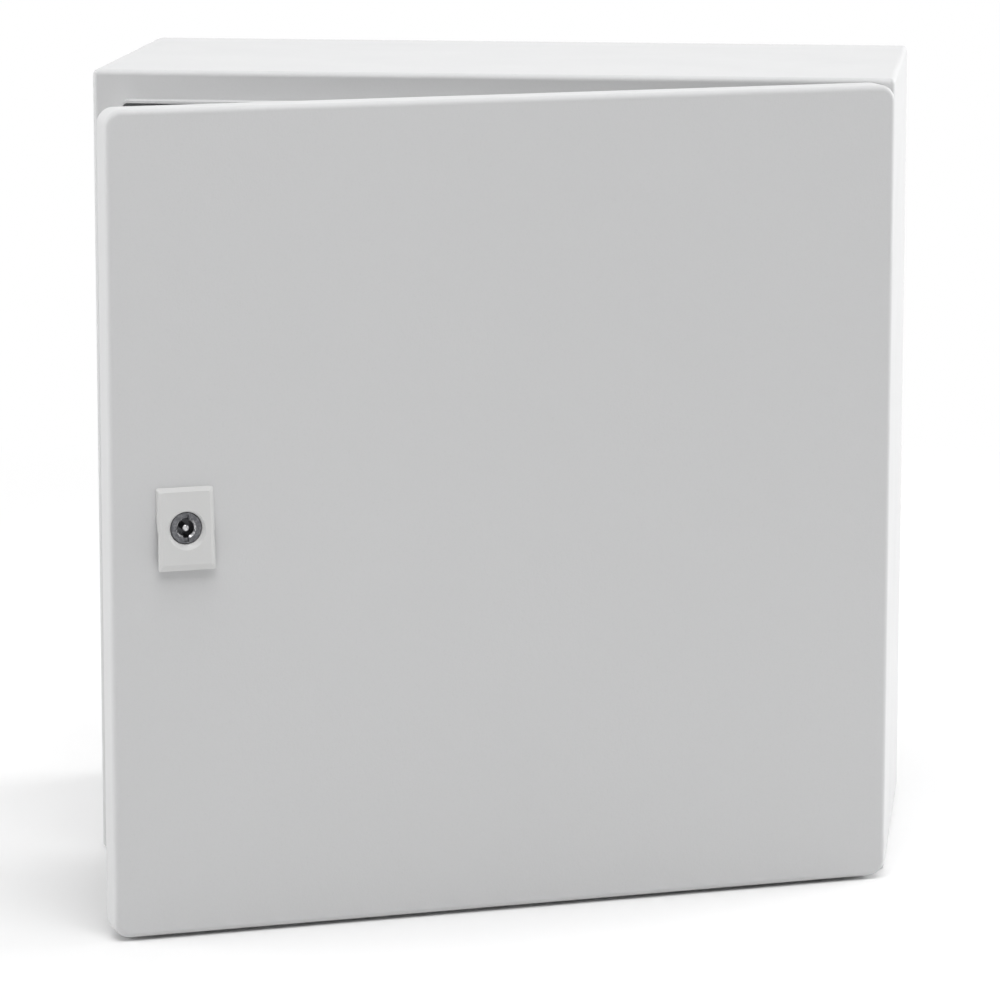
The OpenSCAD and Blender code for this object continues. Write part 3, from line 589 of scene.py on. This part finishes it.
def add_spot_welds(node, foot_w, sheet_t, pitch):
    """Pressed marks of the spot welds along a rail's two feet."""
    place = door_frame()
    low, high = box_of(points_of(node, place))
    count = int((high.z - low.z - 2 * foot_w) / pitch)
    start = (low.z + high.z - count * pitch) / 2
    profile = ((3.3, 0.0), (3.1, 0.12), (2.6, 0.14), (2.2, 0.04), (0.2, 0.06))
    rings = [ring(radius * MM, z * MM, 24) for radius, z in profile]
    inwards = Matrix.Rotation(-math.pi / 2, 4, "X")
    form = bmesh.new()
    for x in (low.x + foot_w / 2, high.x - foot_w / 2):
        for i in range(count + 1):
            spot = Matrix.Translation((x, low.y + sheet_t, start + i * pitch))
            closed_skin(form, rings, place @ spot @ inwards)
    add_piece(node + "_spot_welds", form, node, "weld_mark", replaces=False)


def painted_highlight_arc(form, place, face, socket_r, start, sweep):
    """A thin bright strip along the socket's edge, over its rim and a little way into it: a painted highlight
    standing in for the light on the rim's chamfer.
    """
    arcs = []
    for out, z in ((0.0, -1.0), (0.98, 0.0), (1.05, 0.0), (0.1, -1.1)):
        reach = socket_r + (out - 0.05) * MM
        height = face + (z + 0.02) * MM
        turns = [start + sweep * i / 40 for i in range(41)]
        arcs.append([(reach * math.cos(a), reach * math.sin(a), height) for a in turns])
    strip = [[form.verts.new(place @ Vector(point)) for point in arc] for arc in arcs]
    for inner, outer in zip(strip, strip[1:] + strip[:1]):
        for i in range(40):
            form.faces.new((inner[i], inner[i + 1], outer[i + 1], outer[i]))
    form.faces.new([arc[0] for arc in strip])
    form.faces.new([arc[-1] for arc in strip])


def add_worn_pin_and_painted_rim_highlights(pin_r, socket_r, slot_half_w):
    """Bright metal on the insert: key wear on the end of its pin, and a painted highlight along the edge of its
    socket.
    """
    place = lock_frame()
    face = box_of(points_of("lock_insert", place))[1].z
    form = bmesh.new()
    # Key wear: a bright cap on the end of the pin.
    closed_skin(form, dome_rings(0.9 * pin_r, 0.35 * MM, face - 1.02 * MM), place)
    gap = math.asin(slot_half_w / socket_r) + 0.08
    # Painted highlight: bright strips over the socket's rim, where its chamfer catches the light.
    for start in (-math.pi / 2 + gap, math.pi / 2 + gap):
        painted_highlight_arc(form, place, face, socket_r, start, math.pi - 2 * gap)
    add_piece("lock_insert_worn_pin_and_painted_rim_highlights", form, "lock_insert", "worn_metal", replaces=False)


# ---------- Stage ----------

def soft_box(name, place, target, width, height, power):
    """An area lamp at a place, facing a target."""
    light = bpy.data.lights.new(name, "AREA")
    light.shape = "RECTANGLE"
    light.size = width
    light.size_y = height
    light.energy = power
    lamp = bpy.data.objects.new(name, light)
    lamp.location = place
    lamp.rotation_euler = (Vector(target) - Vector(place)).to_track_quat("-Z", "Y").to_euler()
    scene.collection.objects.link(lamp)


def add_lights(centre):
    """Soft boxes all round; the one behind lights the back without a glare on the top."""
    soft_box("top", (0.0, 0.2, 3.2), centre, 3.0, 3.0, 44)
    soft_box("top_front", (0.3, -2.2, 3.2), centre, 3.0, 3.0, 97)
    soft_box("right", (3.2, 1.6, 1.0), centre, 2.4, 2.4, 103)
    soft_box("left", (-3.4, -0.6, 0.9), centre, 2.4, 2.4, 61)
    soft_box("back", (0.0, 4.5, 0.6), centre, 3.0, 2.4, 60)
    bpy.data.objects["back"].visible_glossy = False


def seen_rays(tree):
    """1 for rays that end in the camera, a mirror or glass, and 0 for light that falls on things."""
    path = tree.nodes.new("ShaderNodeLightPath")
    total = path.outputs["Is Camera Ray"]
    for kind in ("Is Glossy Ray", "Is Transmission Ray"):
        add = tree.nodes.new("ShaderNodeMath")
        add.operation = "MAXIMUM"
        tree.links.new(total, add.inputs[0])
        tree.links.new(path.outputs[kind], add.inputs[1])
        total = add.outputs["Value"]
    return total


def add_world():
    """Even pale light; the camera, mirrors and glass see white."""
    world = bpy.data.worlds.new("studio")
    world.use_nodes = True
    scene.world = world
    tree = world.node_tree
    light = tree.nodes["Background"]
    light.inputs["Color"].default_value = (1.0, 1.0, 1.0, 1.0)
    light.inputs["Strength"].default_value = WORLD_LEVEL
    seen = tree.nodes.new("ShaderNodeBackground")
    seen.inputs["Color"].default_value = (1.0, 1.0, 1.0, 1.0)
    seen.inputs["Strength"].default_value = 1.0
    mix = tree.nodes.new("ShaderNodeMixShader")
    tree.links.new(seen_rays(tree), mix.inputs["Fac"])
    tree.links.new(light.outputs["Background"], mix.inputs[1])
    tree.links.new(seen.outputs["Background"], mix.inputs[2])
    tree.links.new(mix.outputs["Shader"], tree.nodes["World Output"].inputs["Surface"])


def add_floor(level):
    """A wide white floor just under the enclosure, that fades into the white world away from it."""
    mesh = bpy.data.meshes.new("floor")
    form = bmesh.new()
    bmesh.ops.create_circle(form, cap_ends=True, segments=96, radius=14.0)
    form.to_mesh(mesh)
    form.free()
    floor = bpy.data.objects.new("floor", mesh)
    floor.location = (0.0, 0.0, level)
    scene.collection.objects.link(floor)
    finish = Finish("studio_floor", (0.90, 0.90, 0.90), 0.8)
    finish.tint(finish.noise(2.0, 2.0), (0.88, 0.88, 0.88))
    away = finish.node("ShaderNodeVectorMath", {0: finish.place}, operation="LENGTH").outputs["Value"]
    fade = finish.maths("MULTIPLY", finish.spread(away, 0.0, 1.0, 0.5, 1.4), seen_rays(finish.tree))
    white = finish.node("ShaderNodeEmission", {"Strength": 1.0})
    mix = finish.node("ShaderNodeMixShader", {"Fac": fade})
    finish.tree.links.new(finish.shader.outputs["BSDF"], mix.inputs[1])
    finish.tree.links.new(white.outputs["Emission"], mix.inputs[2])
    finish.tree.links.new(mix.outputs["Shader"], finish.tree.nodes["Material Output"].inputs["Surface"])
    mesh.materials.append(finish.material)


def add_camera():
    """Camera in front of the enclosure, a little to the right and above."""
    lens = bpy.data.cameras.new("camera")
    lens.sensor_width = 36.0
    lens.lens = 5.076 * lens.sensor_width
    lens.clip_end = 60.0
    camera = bpy.data.objects.new("camera", lens)
    camera.location = (0.357, -3.343, 0.550)
    yaw, pitch, roll = (math.radians(angle) for angle in (6.42, 10.26, 0.04))
    aim = Matrix.Rotation(yaw, 3, "Z") @ Matrix.Rotation(math.pi / 2 - pitch, 3, "X")
    camera.rotation_euler = (aim @ Matrix.Rotation(roll, 3, "Z")).to_euler()
    scene.collection.objects.link(camera)
    scene.camera = camera


finishes = dress_nodes()
out_of_wall = (0, -1, 0)
up = (0, 0, 1)
from_side = (1, 0, 0)
inward = joints["lock_turn"]["axis"]

# Metric coarse threads: M8 has a pitch of 1.25 mm, M5 one of 0.8 mm.
add_hexagon_bolts("mounting_studs", out_of_wall, 1.25 * MM)
add_nuts("mounting_nuts", out_of_wall)
add_studs("gland_studs", up, 0.8 * MM)
add_nuts("gland_nuts", up)
add_studs("body_earth_stud", from_side, 1.25 * MM)
add_nuts("body_earth_nut", from_side)
add_studs("door_earth_stud", inward, 1.25 * MM)
add_nuts("door_earth_nut", inward)
add_studs("hinge_door_studs", inward, 0.8 * MM)
add_nuts("hinge_door_nuts", inward)
add_nuts("lock_nut", inward, 72)
add_hexagon_bolts("lock_cam_screw", inward, 0.8 * MM)
add_lock_housing(1.5 * MM)
add_foam_bead(10 * MM, 12 * MM)
for rail in ("door_rail_lock_side", "door_rail_hinge_side"):
    add_spot_welds(rail, 9 * MM, 1.5 * MM, 45 * MM)
# Key wear on the pin's end, and a painted highlight round the socket's rim.
add_worn_pin_and_painted_rim_highlights(2 * MM, 5.1 * MM, 1.6 * MM)

add_world()
add_lights((0.0, -0.15, 0.0))
add_floor(cad_box[0][2] - 0.0002)
add_camera()
